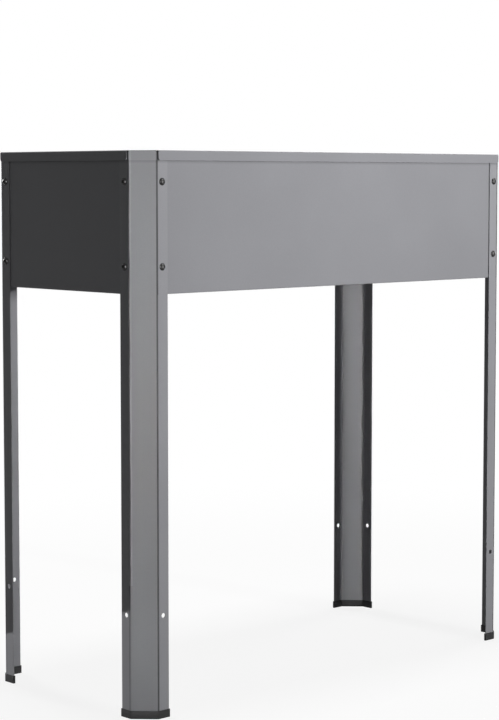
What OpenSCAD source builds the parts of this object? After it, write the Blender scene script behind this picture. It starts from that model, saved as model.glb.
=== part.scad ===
// Raised planter: a folded sheet steel box on four folded sheet legs.
// Millimetres, +Z up. The origin is on the floor under the middle of the box, and the front faces -Y.

/* [Body] */
// Length over the outer faces of the end leg flanges
body_l = 786; // [600:1:1200]
// Width over the outer faces of the front and back leg flanges
body_w = 351; // [280:1:600]
// Height from the floor to the top of the rim
total_h = 800; // [500:1:1000]
// Depth of the box, from the top of the rim to the underside of the panels
box_depth = 200; // [150:1:300]

/* [Legs] */
// Thickness of the leg sheet
leg_t = 1.2; // [1:0.1:2]
// Width of each leg flange, from its free edge to the bend
leg_flange = 19.5; // [17:0.5:30]
// How far the chamfer face cuts back each side of the corner
leg_chamfer = 27.5; // [20:0.5:40]
// Inside radius of the bends in the legs and the support bars
leg_bend_r = 1.6; // [1:0.1:2.5]
// Height of the spare holes for a shelf above the floor
shelf_hole_z = 147; // [80:1:250]

/* [Panels] */
// Thickness of the panel sheet
panel_t = 1; // [0.8:0.1:1.5]
// Inside radius of the panel folds
fold_r = 0.8; // [0.4:0.1:1]
// Height of the rim that is folded down outside the legs
rim_h = 14; // [10:0.5:25]
// Gap between a leg flange and the rim in front of it
rim_gap = 1.5; // [1.2:0.1:5]
// Gap between the end of a rim and the bend of the leg beside it
rim_end_gap = 1.5; // [0.3:0.1:4]
// Radius of the rounded lower corners of each rim
rim_corner_r = 4; // [1:0.5:6]
// Width of the flange along the bottom of each panel
panel_flange = 18; // [12:0.5:30]

/* [Base] */
// Thickness of the base sheet
base_t = 1; // [0.8:0.1:1.5]
// Height of the base's turned-down edges
base_edge_h = 12; // [8:0.5:18]
// Diameter of the drain holes
drain_d = 8; // [5:0.5:12]
// Rows of drain holes across the base
drain_rows = 3; // [1:1:5]
// Width of a support bar
bar_w = 30; // [20:1:45]
// Thickness of the support bar sheet
bar_t = 1.2; // [1:0.1:2]

/* [Fasteners] */
// Diameter of the bolts
bolt_d = 6; // [5:0.5:6.5]
// Length of a bolt under its head
bolt_l = 10; // [10:1:16]
// Diameter of a bolt head
head_d = 10.5; // [9:0.5:12]
// Height of a bolt head
head_h = 3.3; // [2.6:0.1:4]
// Width across the flats of the socket in a bolt head
socket_w = 4; // [3:0.5:5]
// Depth of the socket in a bolt head
socket_deep = 2; // [1:0.1:2.4]
// Diameter of the bolt holes in the sheets
hole_d = 7; // [6.6:0.1:8]
// Distance of the upper bolts below the top of the rim
upper_bolt_drop = 43.5; // [36:0.5:60]
// Distance of the lower bolts above the underside of the panels
lower_bolt_rise = 38.5; // [32:0.5:60]
// Diameter of a washer
washer_d = 12; // [11:0.5:14]
// Thickness of a washer
washer_t = 1.6; // [1:0.1:2]
// Width across the flats of a nut
nut_w = 10; // [9:0.5:11]
// Height of a nut
nut_h = 5; // [4:0.5:6]

/* [Feet] */
// Height of a foot cap
cap_h = 11.5; // [8:0.5:20]
// Thickness of the floor of a foot cap, which the leg stands on
cap_floor = 3; // [2:0.5:5]
// Thickness of the walls of a foot cap
cap_wall = 1.3; // [1:0.1:3]
// Radius of the upright corners at the free ends of a foot cap
cap_corner_r = 1.2; // [0.5:0.1:1.5]
// Radius of the inner bends of a foot cap
cap_inner_r = 0.4; // [0.2:0.1:1]

/* [Clearances] */
// Gap that lets one sheet slide past another
sheet_gap = 0.3; // [0.2:0.1:0.6]
// Gap between a leg and the slot of its foot cap
cap_gap = 0.15; // [0.1:0.05:0.3]
// Gap all round a bolt in its nut
thread_gap = 0.1; // [0.05:0.05:0.2]
// Gap all round a bolt in its washer
washer_gap = 0.2; // [0.1:0.1:0.4]

/* [Hidden] */
$fn = 64;

past = 1; // how far a cut runs past the face it opens
fuse_lap = 0.01; // how far a flat laps over a skew bend, so that they fuse
head_edge = 0.5; // height of the upright edge of a bolt head
tip_bevel = 0.6; // bevel at the tip of a bolt
nut_land = 0.4; // how far a nut's end faces reach past its flats before its corners round off

panel_colour = "#97989c";
leg_colour = "#8b8c90";
base_colour = "#808185";
cap_colour = "#2b2b2c";
bolt_colour = "#1e1e1f";
zinc_colour = "#b4b6ba";

// Heights
panel_z = total_h - box_depth;
upper_bolt_z = total_h - upper_bolt_drop;
lower_bolt_z = panel_z + lower_bolt_rise;
fold_start_z = total_h - panel_t - fold_r;
flange_top_z = fold_start_z - sheet_gap;
rest_z = panel_z + panel_t;
base_z = rest_z + base_edge_h;

// Places along the sides, measured from the middle of the box
long_bend = body_l / 2 - leg_chamfer;
short_bend = body_w / 2 - leg_chamfer;
long_bolt = long_bend - leg_flange / 2;
short_bolt = short_bend - leg_flange / 2;

// Half lengths of the rims, which stop just before the bends of the legs
function rim_half(bend) = bend - rim_end_gap;
// Half lengths of the walls, which stop before the leg bends begin to curve
function wall_half(bend) = bend - setback(leg_bend_r + leg_t, 45) - sheet_gap;

// The inside of the box, between the panels
inner_l = body_l - 2 * (leg_t + panel_t);
inner_w = body_w - 2 * (leg_t + panel_t);

// The base panel lies on the flat part of the bottom flanges, clear of their folds
base_gap = fold_r + sheet_gap;
base_l = inner_l - 2 * base_gap;
base_w = inner_w - 2 * base_gap;
base_bend = fold_r + base_t;
bays = 3; // lengths of base between the ends and the support bars
drains_per_bay = 2;
drain_cols = bays * drains_per_bay;
bar_h = base_edge_h - base_t;
bar_l = base_w - 2 * (base_t + sheet_gap);
bar_x = base_l / bays / 2;

// Where the base's corners are cut back, as the distance along X plus the distance along Y
corner_reach = long_bend + body_w / 2 - (leg_t + base_gap) * sqrt(2);

function setback(r, angle) = r * tan(angle / 2);

// ---------- folded sheet ----------

// A wedge of a ring, from angle a0 to a1, for bends of up to 90 degrees
module ring_wedge(r_in, r_out, a0, a1) {
    reach = 2 * r_out;
    intersection() {
        difference() {
            circle(r_out);
            circle(r_in);
        }
        polygon([[0, 0], reach * [cos(a0), sin(a0)], reach * [cos(a1), sin(a1)]]);
    }
}

// The section of a folded strip. It starts at the origin along +X with the sheet to the left of its
// path, and steps holds a flat length and the bend after it for each stretch: positive turns left.
// At a skew bend the flats lap over the bend, because rounded places don't quite meet there.
module folded(steps, t, r, i = 0, lap_in = 0) {
    flat_l = steps[i][0];
    turn = steps[i][1];
    side = sign(turn);
    middle = turn > 0 ? t + r : -r;
    lap = turn % 90 == 0 ? 0 : fuse_lap;
    translate([-lap_in, 0]) square([lap_in + flat_l + lap, t]);
    if (turn != 0) translate([flat_l, middle]) {
        ring_wedge(r, r + t, -side * 90, turn - side * 90);
        rotate(turn) translate([0, -middle]) folded(steps, t, r, i + 1, lap);
    }
}

// ---------- placing ----------

// Stretches a section along X, with its x towards the front and its y up
module along_x(l) {
    rotate([90, 0, -90]) linear_extrude(l, center = true) children();
}

// Stretches a section along Y, with its x along X and its y up
module along_y(l) {
    rotate([90, 0, 0]) linear_extrude(l, center = true) children();
}

// Draws children made for the front left corner at the corner on side sx, sy
module at_corner(sx, sy) {
    mirror([sx > 0 ? 1 : 0, 0, 0]) mirror([0, sy > 0 ? 1 : 0, 0]) children();
}

// Draws children on both flanges of the front left leg: x runs from the middle of the flange to its
// free edge, y is the height, and z points outwards from the outer face
module on_flanges() {
    translate([-long_bolt, -body_w / 2, 0]) rotate([90, 0, 0]) children();
    translate([-body_l / 2, -short_bolt, 0]) rotate([90, 0, -90]) mirror([1, 0, 0]) children();
}

// Draws children at the four bolts of the front left leg
module at_bolts() {
    on_flanges() for (z = [lower_bolt_z, upper_bolt_z]) translate([0, z, 0]) children();
}

// ---------- legs and feet ----------

// The section of the front left leg, grown by out on both faces and on its two free edges
module leg_section(out, r) {
    t = leg_t + 2 * out;
    bend = setback(r + t, 45);
    grow = setback(out, 45);
    flange = leg_flange + out + grow - bend;
    chamfer = leg_chamfer * sqrt(2) + 2 * (grow - bend);
    translate([-(long_bend - leg_flange) + out, -(body_w / 2 - leg_t - out)])
        rotate(180) folded([[flange, -45], [chamfer, -45], [flange, 0]], t, r);
}

// The leg's flanges stop under the panels' top folds, and the chamfer face rises to the top of the rim
module leg() {
    difference() {
        translate([0, 0, cap_floor]) linear_extrude(total_h - cap_floor) leg_section(0, leg_bend_r);
        on_flanges() {
            for (z = [shelf_hole_z, lower_bolt_z, upper_bolt_z])
                translate([0, z, -leg_t - past]) cylinder(d = hole_d, h = leg_t + 2 * past);
            translate([-leg_flange / 2, flange_top_z, -leg_t - past])
                cube([leg_flange + past, total_h, leg_t + 2 * past]);
        }
    }
}

// The leg stands in a slot between the walls of the cap
module foot_cap() {
    wall_out = cap_gap + cap_wall;
    difference() {
        linear_extrude(cap_h) difference() {
            leg_section(wall_out, cap_inner_r);
            at_free_edges(wall_out) for (side = [0, 1]) mirror([0, side, 0]) cap_corner(wall_out);
        }
        translate([0, 0, cap_floor]) linear_extrude(cap_h) leg_section(cap_gap, leg_bend_r - cap_gap);
    }
}

// Draws children at the two ends of the front left leg section, grown by out: x points away from the
// leg and y across the sheet, from the middle of its thickness
module at_free_edges(out) {
    edge_l = long_bend - leg_flange - out;
    edge_w = short_bend - leg_flange - out;
    translate([-edge_l, -(body_w - leg_t) / 2]) children();
    translate([-(body_l - leg_t) / 2, -edge_w]) rotate(90) children();
}

// What is cut away to round one upright corner of a cap's end
module cap_corner(out) {
    difference() {
        translate([-cap_corner_r, out + leg_t / 2 - cap_corner_r]) square(cap_corner_r + past);
        translate([-cap_corner_r, out + leg_t / 2 - cap_corner_r]) circle(cap_corner_r);
    }
}

// ---------- panels ----------

// The section of a panel, whose legs' flanges lie at the distance face from the middle of the box:
// x points outwards and y up. A flange at the bottom carries the base, and the top folds out and down.
module panel_section(face) {
    wall = face - leg_t;
    bottom = panel_flange - panel_t - fold_r;
    height = fold_start_z - (panel_z + panel_t + fold_r);
    over = leg_t + rim_gap - 2 * fold_r;
    rim = rim_h - panel_t - fold_r;
    translate([wall - panel_flange, panel_z])
        folded([[bottom, 90], [height, -90], [over, -90], [rim, 0]], panel_t, fold_r);
}

// A panel in front of the middle, along X. face is the distance to the outer faces of the legs' flanges,
// and bend and bolt are the distances along the panel to the legs' bends and to the bolts.
module panel(face, bend, bolt) {
    difference() {
        along_x(2 * rim_half(bend)) panel_section(face);
        for (side = [0, 1]) mirror([side, 0, 0]) {
            translate([wall_half(bend), -face, panel_z - past])
                cube([leg_chamfer, leg_t + panel_flange + past, fold_start_z - panel_z + past]);
            translate([rim_half(bend), -face, total_h - rim_h]) rotate([90, 0, 0]) rim_corner();
            for (z = [lower_bolt_z, upper_bolt_z]) translate([bolt, -face, z])
                rotate([-90, 0, 0]) cylinder(d = hole_d, h = leg_t + panel_t + past);
        }
    }
}

// What is cut away to round a lower corner of a rim
module rim_corner() {
    linear_extrude(rim_gap + panel_t + past) translate([-rim_corner_r, 0]) difference() {
        translate([0, -past]) square([rim_corner_r + past, rim_corner_r + past]);
        translate([0, rim_corner_r]) circle(rim_corner_r);
    }
}

// ---------- base and its support bars ----------

// A tray with its edges turned down. Its corners are cut back along the inside of the legs' chamfers.
module base() {
    difference() {
        union() {
            along_x(2 * wall_half(long_bend)) channel_section(base_w, base_edge_h, base_t, fold_r);
            along_y(2 * wall_half(short_bend)) channel_section(base_l, base_edge_h, base_t, fold_r);
            translate([0, 0, base_z - base_t]) linear_extrude(base_t) base_flat();
        }
        drain_holes();
    }
}

// The section of a sheet of width w with both edges turned down to height h, standing on the panels'
// bottom flanges
module channel_section(w, h, t, r) {
    edge = h - t - r;
    flat = w - 2 * (t + r);
    translate([w / 2, rest_z]) rotate(90) folded([[edge, 90], [flat, 90], [edge, 0]], t, r);
}

// The flat of the base, inside its bends
module base_flat() {
    intersection() {
        square([base_l - 2 * base_bend, base_w - 2 * base_bend], center = true);
        rotate(45) square(corner_reach * sqrt(2), center = true);
    }
}

// Drain holes in even rows, with the same number of columns in each bay
module drain_holes() {
    pitch_x = base_l / drain_cols;
    pitch_y = base_w / drain_rows;
    for (i = [0 : drain_cols - 1], j = [0 : drain_rows - 1]) {
        x = (i + 0.5) * pitch_x - base_l / 2;
        y = (j + 0.5) * pitch_y - base_w / 2;
        translate([x, y, base_z - base_t - past]) cylinder(d = drain_d, h = base_t + 2 * past);
    }
}

// A channel that is open downwards, whose ends stand on the front and back panels' bottom flanges
module support_bar() {
    along_y(bar_l) channel_section(bar_w, bar_h, bar_t, leg_bend_r);
}

// ---------- fasteners, with z = 0 on the outer face of the leg and +Z outwards ----------

// A button head bolt with a hexagon socket
module bolt() {
    dome_h = head_h - head_edge;
    dome_r = (pow(head_d / 2, 2) + pow(dome_h, 2)) / (2 * dome_h);
    difference() {
        intersection() {
            cylinder(d = head_d, h = head_h);
            translate([0, 0, head_h - dome_r]) sphere(dome_r);
        }
        translate([0, 0, head_h - socket_deep])
            cylinder(d = socket_w / cos(30), h = socket_deep + past, $fn = 6);
    }
    translate([0, 0, -bolt_l]) {
        cylinder(d1 = bolt_d - 2 * tip_bevel, d2 = bolt_d, h = tip_bevel);
        translate([0, 0, tip_bevel]) cylinder(d = bolt_d, h = bolt_l - tip_bevel);
    }
}

module washer() {
    translate([0, 0, -leg_t - panel_t - washer_t]) difference() {
        cylinder(d = washer_d, h = washer_t);
        translate([0, 0, -past]) cylinder(d = bolt_d + 2 * washer_gap, h = washer_t + 2 * past);
    }
}

// A hexagon nut with rounded corners
module nut() {
    crown_r = norm([nut_w / 2 + nut_land, nut_h / 2]);
    translate([0, 0, -leg_t - panel_t - washer_t - nut_h]) difference() {
        intersection() {
            cylinder(d = nut_w / cos(30), h = nut_h, $fn = 6);
            translate([0, 0, nut_h / 2]) sphere(crown_r);
        }
        translate([0, 0, -past]) cylinder(d = bolt_d + 2 * thread_gap, h = nut_h + 2 * past);
    }
}

// ---------- nodes ----------

module leg_front_left() color(leg_colour) at_corner(-1, -1) leg();
module leg_front_right() color(leg_colour) at_corner(1, -1) leg();
module leg_back_left() color(leg_colour) at_corner(-1, 1) leg();
module leg_back_right() color(leg_colour) at_corner(1, 1) leg();

module foot_cap_front_left() color(cap_colour) at_corner(-1, -1) foot_cap();
module foot_cap_front_right() color(cap_colour) at_corner(1, -1) foot_cap();
module foot_cap_back_left() color(cap_colour) at_corner(-1, 1) foot_cap();
module foot_cap_back_right() color(cap_colour) at_corner(1, 1) foot_cap();

module front_panel() color(panel_colour) panel(body_w / 2, long_bend, long_bolt);
module back_panel() color(panel_colour) rotate(180) panel(body_w / 2, long_bend, long_bolt);
module left_end_panel() color(panel_colour) rotate(-90) panel(body_l / 2, short_bend, short_bolt);
module right_end_panel() color(panel_colour) rotate(90) panel(body_l / 2, short_bend, short_bolt);

module base_panel() color(base_colour) base();
module support_bar_left() color(base_colour) translate([-bar_x, 0, 0]) support_bar();
module support_bar_right() color(base_colour) translate([bar_x, 0, 0]) support_bar();

module bolts_front_left() color(bolt_colour) at_corner(-1, -1) at_bolts() bolt();
module bolts_front_right() color(bolt_colour) at_corner(1, -1) at_bolts() bolt();
module bolts_back_left() color(bolt_colour) at_corner(-1, 1) at_bolts() bolt();
module bolts_back_right() color(bolt_colour) at_corner(1, 1) at_bolts() bolt();

module washers_front_left() color(zinc_colour) at_corner(-1, -1) at_bolts() washer();
module washers_front_right() color(zinc_colour) at_corner(1, -1) at_bolts() washer();
module washers_back_left() color(zinc_colour) at_corner(-1, 1) at_bolts() washer();
module washers_back_right() color(zinc_colour) at_corner(1, 1) at_bolts() washer();

module nuts_front_left() color(zinc_colour) at_corner(-1, -1) at_bolts() nut();
module nuts_front_right() color(zinc_colour) at_corner(1, -1) at_bolts() nut();
module nuts_back_left() color(zinc_colour) at_corner(-1, 1) at_bolts() nut();
module nuts_back_right() color(zinc_colour) at_corner(1, 1) at_bolts() nut();

leg_front_left();
leg_front_right();
leg_back_left();
leg_back_right();
foot_cap_front_left();
foot_cap_front_right();
foot_cap_back_left();
foot_cap_back_right();
front_panel();
back_panel();
left_end_panel();
right_end_panel();
base_panel();
support_bar_left();
support_bar_right();
bolts_front_left();
bolts_front_right();
bolts_back_left();
bolts_back_right();
washers_front_left();
washers_front_right();
washers_back_left();
washers_back_right();
nuts_front_left();
nuts_front_right();
nuts_back_left();
nuts_back_right();
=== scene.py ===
from math import cos, pi, radians, sin, sqrt, tau

import bmesh
import bpy
from mathutils import Matrix, Vector


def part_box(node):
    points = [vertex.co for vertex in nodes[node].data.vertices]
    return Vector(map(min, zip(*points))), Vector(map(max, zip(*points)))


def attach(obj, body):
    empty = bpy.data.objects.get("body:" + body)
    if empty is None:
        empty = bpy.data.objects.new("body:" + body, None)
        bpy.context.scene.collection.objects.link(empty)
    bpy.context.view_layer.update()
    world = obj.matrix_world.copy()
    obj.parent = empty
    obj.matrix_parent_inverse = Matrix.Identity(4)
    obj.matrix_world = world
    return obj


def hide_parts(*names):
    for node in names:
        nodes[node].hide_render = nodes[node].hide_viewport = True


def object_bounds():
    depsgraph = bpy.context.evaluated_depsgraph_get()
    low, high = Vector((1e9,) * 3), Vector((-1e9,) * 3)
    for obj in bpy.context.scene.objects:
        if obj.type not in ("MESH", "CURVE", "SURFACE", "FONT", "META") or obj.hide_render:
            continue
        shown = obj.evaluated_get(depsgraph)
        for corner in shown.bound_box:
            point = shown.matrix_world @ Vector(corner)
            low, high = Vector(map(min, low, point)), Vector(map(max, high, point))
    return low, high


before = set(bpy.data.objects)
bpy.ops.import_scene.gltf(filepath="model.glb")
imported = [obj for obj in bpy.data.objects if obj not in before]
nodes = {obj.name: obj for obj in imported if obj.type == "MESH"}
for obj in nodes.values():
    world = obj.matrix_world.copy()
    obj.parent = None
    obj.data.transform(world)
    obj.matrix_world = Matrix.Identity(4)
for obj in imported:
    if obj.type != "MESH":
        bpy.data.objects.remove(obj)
cad_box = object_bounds()

CORNERS = ("front_left", "front_right", "back_left", "back_right")
MM = 0.001


# ---------- two sizes of the part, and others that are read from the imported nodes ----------

CHAMFER = 27.5 * MM  # plan length of a leg's chamfer, along X and along Y
RIM_H = 14 * MM  # how far the panels' rims hang down
leg_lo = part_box("leg_front_left")[0]
body_x, body_y = -leg_lo.x, -leg_lo.y  # outer faces of the leg flanges
long_bend, short_bend = body_x - CHAMFER, body_y - CHAMFER  # where the flanges turn into the chamfer
end_lo, end_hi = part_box("left_end_panel")
box_foot = end_lo.z  # underside of the box
rim_end = end_hi.y  # half length of the end panels' rims
rim_foot = cad_box[1].z - RIM_H  # lower edge of the rims
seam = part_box("leg_front_right")[0].x  # free edge of the right legs' long-side flanges


# ---------- shader building ----------

class Shader:
    """A material whose nodes are added one after another. Inputs take numbers, colours or sockets."""

    def __init__(self, name):
        self.mat = bpy.data.materials.new(name)
        self.mat.use_nodes = True
        self.tree = self.mat.node_tree
        self.tree.nodes.clear()
        self.out = self.tree.nodes.new("ShaderNodeOutputMaterial")

    def node(self, kind, inputs=None, **settings):
        made = self.tree.nodes.new("ShaderNode" + kind)
        for key, value in settings.items():
            setattr(made, key, value)
        for key, value in (inputs or {}).items():
            if isinstance(value, bpy.types.NodeSocket):
                self.tree.links.new(value, made.inputs[key])
            else:
                made.inputs[key].default_value = value
        return made

    def math(self, operation, a, b=0.0):
        return self.node("Math", {0: a, 1: b}, operation=operation).outputs[0]

    def within(self, value, low, high):
        """1 between the two limits, and 0 outside them."""
        above = self.math("GREATER_THAN", value, low)
        return self.math("MULTIPLY", above, self.math("LESS_THAN", value, high))

    def dim(self, tone, where, share):
        """The tone, less a share of it where the mask is 1."""
        return self.math("MULTIPLY", tone, self.math("SUBTRACT", 1.0, self.math("MULTIPLY", where, share)))

    def place(self):
        """The point in the shared frame, because every object lies at its origin."""
        return self.node("TexCoord").outputs["Object"]

    def noise(self, where, size, detail):
        """Noise from 0 to 1, whose grains are about size metres across."""
        return self.node("TexNoise", {"Vector": where, "Scale": 1 / size, "Detail": detail}).outputs[0]

    def ramp(self, value, low, high, to_low=0.0, to_high=1.0, smooth=True):
        return self.node("MapRange", {0: value, 1: low, 2: high, 3: to_low, 4: to_high},
                         interpolation_type="SMOOTHSTEP" if smooth else "LINEAR").outputs[0]

    def tint(self, colour, factor):
        """The colour times a grey factor."""
        grey = self.node("CombineColor", {0: factor, 1: factor, 2: factor}).outputs[0]
        inputs = {0: 1.0, 6: colour, 7: grey}
        return self.node("Mix", inputs, data_type="RGBA", blend_type="MULTIPLY").outputs[2]

    def mix(self, factor, a, b):
        return self.node("Mix", {0: factor, 6: a, 7: b}, data_type="RGBA").outputs[2]

    def bump(self, height, distance, strength, normal):
        inputs = {"Height": height, "Distance": distance, "Strength": strength, "Normal": normal}
        return self.node("Bump", inputs).outputs[0]

    def finish(self, **inputs):
        surface = self.node("BsdfPrincipled", {k.replace("_", " "): v for k, v in inputs.items()})
        self.tree.links.new(surface.outputs[0], self.out.inputs[0])
        return self.mat


def rgba(r, g, b):
    return (r, g, b, 1.0)


# ---------- materials ----------

# Painted shade and a painted highlight on the legs: upright lines at the bends, darker where a bend loses the
# light and paler where it catches it, as (place in plan, inner radius, outer radius, tone, lowest point,
# highest point).
# The short bend's line is painted shade up to a set height and a painted highlight above it
PAINTED_HIGHLIGHT_FROM = 190 * MM
OVER_ALL = 1.0
LEG_PAINTED_LIGHT_LINES = (
    ((long_bend - 0.5 * MM, body_y, 0), 0.9 * MM, 1.7 * MM, 0.26, 0.0, box_foot),
    ((long_bend - 0.75 * MM, body_y, 0), 1.0 * MM, 1.9 * MM, 0.2, box_foot, rim_foot),
    ((long_bend - 0.5 * MM, body_y, 0), 0.9 * MM, 1.7 * MM, 0.4, rim_foot, OVER_ALL),
    ((body_x, short_bend - 2.3 * MM, 0), 0.5 * MM, 1.2 * MM, 0.6, 0.0, PAINTED_HIGHLIGHT_FROM),
    ((body_x, short_bend, 0), 2.4 * MM, 3.6 * MM, 1.26, PAINTED_HIGHLIGHT_FROM, OVER_ALL))
RIM_PAINTED_SHADOW, RIM_PAINTED_SHADOW_H = 0.27, 4.5 * MM  # painted shadow under the rims: how much darker it is right under a rim, and how far down
GAP_IN = 0.5 * MM  # how far inside the leg's long bend the painted shade in the gap beside a long rim begins
SEAM_SHADOW_W = 1.6 * MM  # width of the painted shadow line beside a right leg's long-side flange
CUT_D = 0.1 * MM  # depth of the painted shade on an end rim's cut ends


def painted_light_and_shade(s, at, tone, lines, gap_shade_tone, seam_shadow_tone, cut_shade_tone):
    """The tone with painted light and shade that the lamps alone do not bring, placed from the part's own
    sizes:
    painted shade and highlight lines, a painted shadow under the rims, and painted shade in the gaps, beside
    the right legs' flanges and on the cut ends.
    """
    xyz = s.node("SeparateXYZ", {0: at}).outputs
    plan_x, plan_y = (s.math("ABSOLUTE", xyz[i]) for i in (0, 1))
    plan = s.node("CombineXYZ", {0: plan_x, 1: plan_y}).outputs[0]
    for spot, inner, outer, line_tone, low, high in lines:
        reach = s.node("VectorMath", {0: plan, 1: spot}, operation="DISTANCE").outputs["Value"]
        near = s.math("MULTIPLY", s.within(xyz[2], low, high), s.ramp(reach, inner, outer, 1.0, 0.0))
        tone = s.dim(tone, near, 1 - line_tone)
    # Painted shadow under the rims, darkest at the rim's lower edge
    under_rim = s.math("LESS_THAN", xyz[2], rim_foot)
    shade = s.math("MULTIPLY", under_rim, s.ramp(xyz[2], rim_foot - RIM_PAINTED_SHADOW_H, rim_foot, smooth=False))
    tone = s.dim(tone, shade, RIM_PAINTED_SHADOW)
    # Painted shade on the leg flanges in the gaps beside the long rims
    if gap_shade_tone < 1:
        in_gap = s.math("LESS_THAN", plan_x, long_bend - GAP_IN)
        in_gap = s.math("MULTIPLY", in_gap, s.math("SUBTRACT", 1.0, under_rim))
        tone = s.dim(tone, in_gap, 1 - gap_shade_tone)
    # A painted shadow line on the panels beside the right legs' long-side flanges
    if seam_shadow_tone < 1:
        beside = s.math("MULTIPLY", s.within(xyz[0], seam - SEAM_SHADOW_W, seam), under_rim)
        tone = s.dim(tone, beside, 1 - seam_shadow_tone)
    # Painted shade on the end rims' cut ends
    if cut_shade_tone < 1:
        at_cut = s.math("GREATER_THAN", plan_y, rim_end - CUT_D)
        at_cut = s.math("MULTIPLY", at_cut, s.math("GREATER_THAN", plan_x, body_x))
        tone = s.dim(tone, at_cut, 1 - cut_shade_tone)
    return tone


def powder_coat(name, colour, lines=(), gap_shade_tone=1.0, seam_shadow_tone=1.0, cut_shade_tone=1.0):
    """Satin powder coat: a fine orange peel, faint cloudiness, thinner, paler paint on the edges, and painted
    shade in crevices. The tones are those of the painted shade in the gaps beside the long rims, of a painted
    shadow line beside the right legs' long-side flanges and of the painted shade on the end rims' cut ends."""
    s = Shader(name)
    at = s.place()
    cloud = s.noise(at, 0.16, 3.0)
    speck = s.noise(at, 0.0011, 1.0)
    tone = s.math("ADD", s.ramp(cloud, 0.3, 0.7, 0.975, 1.025), s.ramp(speck, 0.3, 0.7, -0.02, 0.02))
    soft = s.node("Bevel", {"Radius": 0.35 * MM}, samples=4).outputs[0]
    flat = s.node("NewGeometry").outputs["Normal"]
    turn = s.node("VectorMath", {0: soft, 1: flat}, operation="DOT_PRODUCT").outputs["Value"]
    edge = s.ramp(turn, 0.99, 0.8)
    tone = s.math("ADD", tone, s.math("MULTIPLY", edge, 0.07))
    # Painted shade: the tone goes darker in crevices, in gaps and under the rims, by ambient occlusion
    open_sky = s.node("AmbientOcclusion", {"Distance": 5 * MM}, samples=6).outputs["AO"]
    tone = s.math("MULTIPLY", tone, s.ramp(open_sky, 0.3, 0.7, 0.45, 1.0))
    tone = painted_light_and_shade(s, at, tone, lines, gap_shade_tone, seam_shadow_tone, cut_shade_tone)
    peel = s.noise(at, 0.0019, 1.5)
    fine = s.noise(at, 0.0006, 1.0)
    wave = s.noise(at, 0.22, 1.0)
    normal = s.bump(wave, 0.0012, 0.35, soft)
    normal = s.bump(s.math("ADD", peel, s.math("MULTIPLY", fine, 0.3)), 0.00006, 0.5, normal)
    rough = s.math("ADD", s.ramp(cloud, 0.3, 0.7, 0.43, 0.5), s.ramp(speck, 0.3, 0.7, -0.03, 0.03))
    return s.finish(Base_Color=s.tint(rgba(*colour), tone), Roughness=rough, Normal=normal,
                    Specular_IOR_Level=0.2)


def moulded_plastic(name, colour):
    """Black plastic with a fine spark-eroded grain."""
    s = Shader(name)
    at = s.place()
    grain = s.noise(at, 0.00045, 2.0)
    cloud = s.noise(at, 0.012, 2.0)
    soft = s.node("Bevel", {"Radius": 0.5 * MM}, samples=4).outputs[0]
    tone = s.math("ADD", s.ramp(cloud, 0.3, 0.7, 0.9, 1.1), s.ramp(grain, 0.3, 0.7, -0.06, 0.06))
    return s.finish(Base_Color=s.tint(rgba(*colour), tone), Roughness=s.ramp(grain, 0.3, 0.7, 0.5, 0.64),
                    Normal=s.bump(grain, 0.00005, 0.7, soft), Specular_IOR_Level=0.16)


def black_oxide(name, colour):
    """Blackened steel, in patches a little browner and duller."""
    s = Shader(name)
    at = s.place()
    patch = s.noise(at, 0.0022, 3.0)
    grain = s.noise(at, 0.0004, 1.0)
    soft = s.node("Bevel", {"Radius": 0.25 * MM}, samples=4).outputs[0]
    return s.finish(Base_Color=s.mix(s.ramp(patch, 0.35, 0.7), rgba(*colour), rgba(0.013, 0.012, 0.011)),
                    Roughness=s.ramp(patch, 0.3, 0.7, 0.2, 0.28), Normal=s.bump(grain, 0.00003, 0.4, soft),
                    Specular_IOR_Level=0.2)


def bright_zinc(name, colour):
    """Bright zinc plate with the fine turned marks of the steel under it."""
    s = Shader(name)
    at = s.place()
    patch = s.noise(at, 0.003, 3.0)
    stretched = s.node("Mapping", {0: at, 3: (1.0, 1.0, 9.0)}).outputs[0]
    lines = s.noise(stretched, 0.0016, 2.0)
    soft = s.node("Bevel", {"Radius": 0.25 * MM}, samples=4).outputs[0]
    return s.finish(Base_Color=s.tint(rgba(*colour), s.ramp(patch, 0.3, 0.7, 0.88, 1.08)), Metallic=1.0,
                    Roughness=s.ramp(lines, 0.3, 0.7, 0.26, 0.4), Normal=s.bump(lines, 0.00003, 0.5, soft))


paint = {
    "leg": powder_coat("leg_powder_coat", (0.314, 0.315, 0.334), lines=LEG_PAINTED_LIGHT_LINES, gap_shade_tone=0.4),
    "panel": powder_coat("panel_powder_coat", (0.282, 0.283, 0.301), seam_shadow_tone=0.55, cut_shade_tone=0.36),
    "base": powder_coat("base_powder_coat", (0.282, 0.283, 0.301)),
}
plastic = moulded_plastic("cap_plastic", (0.033, 0.033, 0.034))
oxide = black_oxide("bolt_black_oxide", (0.007, 0.007, 0.0075))
zinc = bright_zinc("bright_zinc", (0.6, 0.615, 0.64))


def coat(name, material):
    slot = nodes[name].material_slots[0]
    slot.link = "OBJECT"
    slot.material = material


for corner in CORNERS:
    coat("leg_" + corner, paint["leg"])
    coat("foot_cap_" + corner, plastic)
    coat("bolts_" + corner, oxide)
    coat("washers_" + corner, zinc)
    coat("nuts_" + corner, zinc)
for name in ("front_panel", "back_panel", "left_end_panel", "right_end_panel"):
    coat(name, paint["panel"])
for name in ("base_panel", "support_bar_left", "support_bar_right"):
    coat(name, paint["base"])


# ---------- bolts: domed heads with a hexagon socket, and a rolled M6 thread ----------

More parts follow.
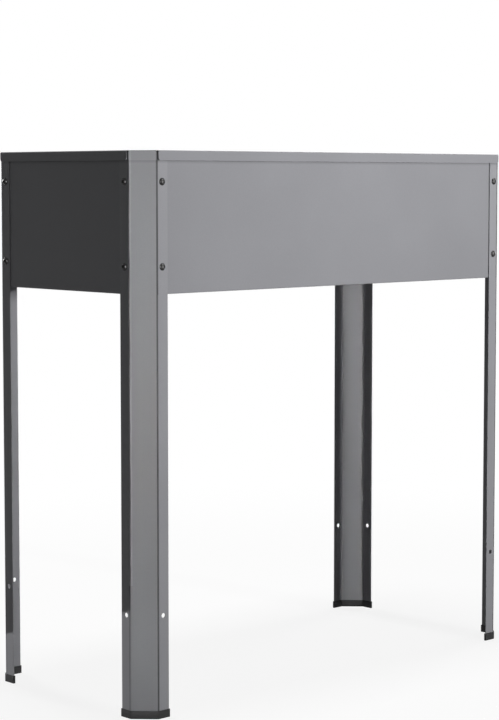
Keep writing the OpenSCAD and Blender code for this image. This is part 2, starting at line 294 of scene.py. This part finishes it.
RING = 36  # points round a bolt, a multiple of the socket's six sides
HEAD_R = 5.25 * MM
HEAD_H = 3.3 * MM
EDGE_H = 0.5 * MM  # the upright edge below the dome
DOME_R = 0.985 * HEAD_R  # where the dome ends and the rounded edge begins
DOME_SINK = 0.02 * MM  # how much lower the dome lies than HEAD_H says
DOME_STEPS = 8
SOCKET_R = 2.0 * MM  # half the hexagon's width
SOCKET_D = 2.0 * MM
DRILL_R, DRILL_D = 0.8 * MM, 0.35 * MM  # the drilled cone below the hexagon, down to its flat end
MOUTH_R = 2.45 * MM  # the round chamfer over the hexagon
MOUTH_D = 0.25 * MM
SHANK_R = 3.0 * MM
SHANK_L = 10.0 * MM
BARE_L = 0.5 * MM  # shank without thread, under the head and at the tip
PITCH = 1.0 * MM
THREAD_STEPS = 6  # rings in one turn of the thread
GROOVE_D = 0.3 * MM
TIP_L, TIP_D = 0.9 * MM, 0.55 * MM  # length of the tapered tip, and how much smaller its radius gets
TIP_R = 2.25 * MM  # the flat end
bolt_lo, bolt_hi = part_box("bolts_front_left")
bolt_z = (bolt_lo.z + HEAD_R, bolt_hi.z - HEAD_R)
long_bolt = -(bolt_hi.x - HEAD_R)  # distance of the front's and the back's bolts from the middle, along X
short_bolt = -(bolt_hi.y - HEAD_R)  # distance of the ends' bolts from the middle, along Y


def hexagon(angle, flat):
    """The distance from the middle of a hexagon to its side, flat being half its width."""
    return flat / cos((angle % (tau / 6)) - tau / 12)


def bolt_rings():
    """Rings of (radius, height) functions, from the bottom of the socket round the head to the tip."""
    dome_h = HEAD_H - EDGE_H
    ball_r = (HEAD_R ** 2 + dome_h ** 2) / (2 * dome_h)

    def dome(r):
        return HEAD_H - ball_r + sqrt(ball_r ** 2 - r ** 2) - DOME_SINK

    rings = [lambda a: (DRILL_R, HEAD_H - SOCKET_D - DRILL_D),
             lambda a: (hexagon(a, SOCKET_R), HEAD_H - SOCKET_D),
             lambda a: (hexagon(a, SOCKET_R), dome(MOUTH_R) - MOUTH_D),
             lambda a: (MOUTH_R, dome(MOUTH_R))]
    for i in range(1, DOME_STEPS + 1):
        r = MOUTH_R + (DOME_R - MOUTH_R) * i / DOME_STEPS
        rings.append(lambda a, r=r: (r, dome(r)))
    rounded_edge = ((HEAD_R, 0.42 * MM), (HEAD_R, 0.12 * MM), (0.98 * HEAD_R, 0.0))
    fillet = ((SHANK_R + 0.25 * MM, 0.0), (SHANK_R - 0.05 * MM, -0.3 * MM))
    for r, z in rounded_edge + fillet:
        rings.append(lambda a, r=r, z=z: (r, z))
    count = round((SHANK_L - TIP_L) / PITCH * THREAD_STEPS)
    for i in range(count + 1):
        z = -BARE_L - i * (SHANK_L - 2 * BARE_L) / count

        def thread(a, z=z):
            turn = (z / PITCH - a / tau) % 1.0
            groove = GROOVE_D * max(0.0, 1 - abs(turn - 0.5) * 2.6)  # a V over about 3/4 of each turn
            fade = min(1.0, (SHANK_L + z) / TIP_L)
            return SHANK_R - groove * fade - (1 - fade) * TIP_D, z
        rings.append(thread)
    rings.append(lambda a: (TIP_R, -SHANK_L))
    return rings


def add_bolt(bm, rings, matrix):
    loops = []
    for ring in rings:
        loop = []
        for i in range(RING):
            a = tau * i / RING
            r, z = ring(a)
            loop.append(bm.verts.new(matrix @ Vector((r * cos(a), r * sin(a), z))))
        loops.append(loop)
    for one, two in zip(loops, loops[1:]):
        for i in range(RING):
            j = (i + 1) % RING
            bm.faces.new((one[i], two[i], two[j], one[j]))
    bm.faces.new(loops[0])
    bm.faces.new(tuple(reversed(loops[-1])))


def facing(origin, outward, spin):
    """The matrix that puts a bolt's head outwards at a point, turned by spin about its axis."""
    z = Vector(outward)
    y = Vector((0, 0, 1))
    x = y.cross(z)
    turn = Matrix((x, y, z)).transposed().to_4x4()
    return Matrix.Translation(origin) @ turn @ Matrix.Rotation(spin, 4, "Z")


def new_object(name, bm, material):
    mesh = bpy.data.meshes.new(name)
    bm.to_mesh(mesh)
    bm.free()
    mesh.materials.append(material)
    obj = bpy.data.objects.new(name, mesh)
    bpy.context.scene.collection.objects.link(obj)
    return obj


def smooth(piece, limit):
    """Smooth shading, but for the edges that turn by more than the limit, in degrees."""
    piece.data.shade_smooth()
    piece.data.set_sharp_from_angle(angle=radians(limit))


# Each bolt at a corner stops at a turn of its own
rings = bolt_rings()
bolts = []
for k, corner in enumerate(CORNERS):
    sx = -1 if "left" in corner else 1
    sy = -1 if "front" in corner else 1
    bm = bmesh.new()
    for j, z in enumerate(bolt_z):
        add_bolt(bm, rings, facing((sx * long_bolt, sy * body_y, z), (0, sy, 0), 0.7 * k + 1.9 * j))
        add_bolt(bm, rings, facing((sx * body_x, sy * short_bolt, z), (sx, 0, 0), 1.3 * k + 0.8 * j + 0.3))
    bmesh.ops.recalc_face_normals(bm, faces=bm.faces)
    piece = new_object("bolts_" + corner + "_m6", bm, oxide)
    smooth(piece, 38)
    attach(piece, "root")
    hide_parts("bolts_" + corner)
    bolts.append(piece)


# ---------- foot caps with moulded, rounded edges ----------

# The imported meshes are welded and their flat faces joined, so that only true edges are rounded
CAP_ROUND = 0.45 * MM
for corner in CORNERS:
    bm = bmesh.new()
    bm.from_mesh(nodes["foot_cap_" + corner].data)
    bmesh.ops.remove_doubles(bm, verts=bm.verts, dist=0.002 * MM)
    bmesh.ops.dissolve_limit(bm, angle_limit=radians(0.5), verts=bm.verts, edges=bm.edges)
    sharp = [e for e in bm.edges if len(e.link_faces) == 2 and e.calc_face_angle() > radians(50)]
    bmesh.ops.bevel(bm, geom=sharp, offset=CAP_ROUND, offset_type="OFFSET", segments=3, profile=0.5,
                    affect="EDGES", clamp_overlap=True)
    piece = new_object("foot_cap_" + corner + "_moulded", bm, plastic)
    smooth(piece, 40)
    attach(piece, "root")
    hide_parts("foot_cap_" + corner)


# ---------- floor, world, lamps and camera ----------

def white_to_the_eye(tree, out, seen, lit):
    """Camera, glossy and transmission rays meet the seen shader, and all others the lit one."""
    path = tree.nodes.new("ShaderNodeLightPath")
    share = path.outputs["Is Camera Ray"]
    for other in ("Is Glossy Ray", "Is Transmission Ray"):
        both = tree.nodes.new("ShaderNodeMath")
        both.operation = "MAXIMUM"
        tree.links.new(share, both.inputs[0])
        tree.links.new(path.outputs[other], both.inputs[1])
        share = both.outputs[0]
    mix = tree.nodes.new("ShaderNodeMixShader")
    tree.links.new(share, mix.inputs[0])
    tree.links.new(lit, mix.inputs[1])
    tree.links.new(seen, mix.inputs[2])
    tree.links.new(mix.outputs[0], out.inputs[0])


AMBIENT = 0.053  # strength of the white world as a light
world = bpy.data.worlds.new("studio")
bpy.context.scene.world = world
world.use_nodes = True
tree = world.node_tree
tree.nodes.clear()
out = tree.nodes.new("ShaderNodeOutputWorld")
skies = []
for strength in (1.0, AMBIENT):
    sky = tree.nodes.new("ShaderNodeBackground")
    sky.inputs[0].default_value = rgba(1, 1, 1)
    sky.inputs[1].default_value = strength
    skies.append(sky.outputs[0])
white_to_the_eye(tree, out, *skies)


FLOOR_R = 14.0
FADE_FROM, FADE_TO = 0.7, 1.9  # distances from the middle between which the floor turns fully white


def floor_material():
    """Pale floor. The eye sees it nearly white with the shadow kept, fading to white further out."""
    s = Shader("pale_floor")
    at = s.place()
    grain = s.noise(at, 0.004, 2.0)
    lit = s.node("BsdfDiffuse", {"Color": rgba(0.2, 0.2, 0.2)}).outputs[0]
    pale = s.tint(rgba(0.18, 0.18, 0.18), s.ramp(grain, 0.3, 0.7, 0.98, 1.02))
    shade = s.node("BsdfDiffuse", {"Color": pale})
    glow = s.node("Emission", {"Color": rgba(1, 1, 1), "Strength": 0.86})
    near = s.node("AddShader", {0: shade.outputs[0], 1: glow.outputs[0]}).outputs[0]
    far = s.node("Emission", {"Color": rgba(1, 1, 1), "Strength": 1.0}).outputs[0]
    reach = s.node("VectorMath", {0: at}, operation="LENGTH").outputs["Value"]
    seen = s.node("MixShader", {0: s.ramp(reach, FADE_FROM, FADE_TO), 1: near, 2: far}).outputs[0]
    white_to_the_eye(s.tree, s.out, seen, lit)
    return s.mat


bm = bmesh.new()
bmesh.ops.create_circle(bm, cap_ends=True, radius=FLOOR_R, segments=96)
floor = new_object("floor", bm, floor_material())


def place_lamp(lamp, at, towards):
    lamp.location = at
    lamp.rotation_euler = Vector(towards).to_track_quat("-Z", "Y").to_euler()
    bpy.context.scene.collection.objects.link(lamp)
    return lamp


def softbox(name, at, aim, size, power, spread=180.0, gloss_only=False):
    """A rectangular lamp at a point, turned to another. A smaller spread in degrees is a grid on it."""
    data = bpy.data.lights.new(name, "AREA")
    data.shape = "RECTANGLE"
    data.size, data.size_y = size
    data.energy = power
    data.spread = radians(spread)
    lamp = bpy.data.objects.new(name, data)
    lamp.visible_camera = False
    lamp.visible_diffuse = not gloss_only
    return place_lamp(lamp, at, Vector(aim) - Vector(at))


def low_kicker(at, one, two, power):
    """A spot lamp whose upper edge runs through two points and which lights what lies below them."""
    half_angle = radians(60)
    at, one, two = Vector(at), Vector(one), Vector(two)
    along = ((one + two) / 2 - at).normalized()
    up = (two - one).cross(along).normalized()
    up = up if up.z > 0 else -up
    data = bpy.data.lights.new("kicker", "SPOT")
    data.energy = power
    data.spot_size = 2 * half_angle
    data.spot_blend = 0.001
    data.shadow_soft_size = 0.001
    lamp = bpy.data.objects.new("kicker", data)
    return place_lamp(lamp, at, along * cos(half_angle) - up * sin(half_angle))


def light_link(lamp, objects, state):
    """Lets a lamp light only these objects, where state is INCLUDE, or all but these, where it is EXCLUDE."""
    group = bpy.data.collections.new(lamp.name + "_lights")
    for obj in objects:
        group.objects.link(obj)
    for item in group.collection_objects:
        item.light_linking.link_state = state
    lamp.light_linking.receiver_collection = group


# Each lamp's numbers are its place, its aim, its size and its power in watts. The key is far off and level,
# a little to the right, with a grid that lets it fade towards the floor. The back left leg stands at the edge
# of its light and gets a share of it
KEY_POWER = 16.3
EDGE_SHARE = 0.76
shaded = [nodes["leg_back_left"]]
for name, share, state in (("key", 1.0, "EXCLUDE"), ("key_edge", EDGE_SHARE, "INCLUDE")):
    key = softbox(name, (1.16, -9.0, 1.0), (0.13, -0.17, 1.1), (0.45, 0.45), KEY_POWER * share, spread=25.0)
    light_link(key, shaded, state)
softbox("chamfer_gloss", (-1.60, -1.15, 0.44), (-0.38, -0.16, 0.28), (0.3, 0.80), 29.0, gloss_only=True)
softbox("foot_gloss", (-0.613, -0.349, 0.05), (-0.38, -0.16, 0.045), (0.12, 0.09), 0.35, gloss_only=True)
softbox("top", (0.0, 0.0, 3.0), (0.0, 0.0, 0.0), (0.8, 0.5), 12.0, spread=120.0)
softbox("back", (0.35, 4.0, 1.2), (0.0, 0.0, 0.6), (1.0, 1.0), 75.0)
softbox("right", (4.0, 0.6, 1.2), (0.0, 0.0, 0.6), (1.2, 1.2), 35.0)
for name, at, aim, size, power in (
        ("front_bolt_gloss", (0.48, -1.45, 1.97), (-0.36, -0.18, 1.97), (1.7, 3.9), 210.0),
        ("end_bolt_gloss", (-1.70, -0.91, 0.93), (-0.40, -0.14, 0.70), (0.45, 0.75), 25.0)):
    light_link(softbox(name, at, aim, size, power, gloss_only=True), bolts, "INCLUDE")
# The kicker's light ends on the left side along a slanted line, high at the front and low at the back
KICK_Y, KICK_FRONT_Z, KICK_BACK_Z = 0.138, 0.154, 0.078
line_front, line_back = (-body_x, -KICK_Y, KICK_FRONT_Z), (-body_x, KICK_Y, KICK_BACK_Z)
kicker = low_kicker((-2.4, 2.5, 0.75), line_front, line_back, 205.0)
light_link(kicker, [floor], "EXCLUDE")

CAMERA_LENS = 100.74  # mm on a 36 mm sensor along the picture's long side
CAMERA_AT = (-2.1846, -2.3001, 0.7594)
CAMERA_DIP, CAMERA_TURN = 0.07808, -0.75401  # radians below level, and about Z
CAMERA_SHIFT = -0.0316
data = bpy.data.cameras.new("camera")
data.lens = CAMERA_LENS
data.clip_start, data.clip_end = 0.05, 100
data.shift_y = CAMERA_SHIFT
camera = bpy.data.objects.new("camera", data)
camera.location = CAMERA_AT
camera.rotation_euler = (pi / 2 - CAMERA_DIP, 0.0, CAMERA_TURN)
bpy.context.scene.collection.objects.link(camera)
bpy.context.scene.camera = camera

bpy.context.scene.view_settings.view_transform = "Standard"
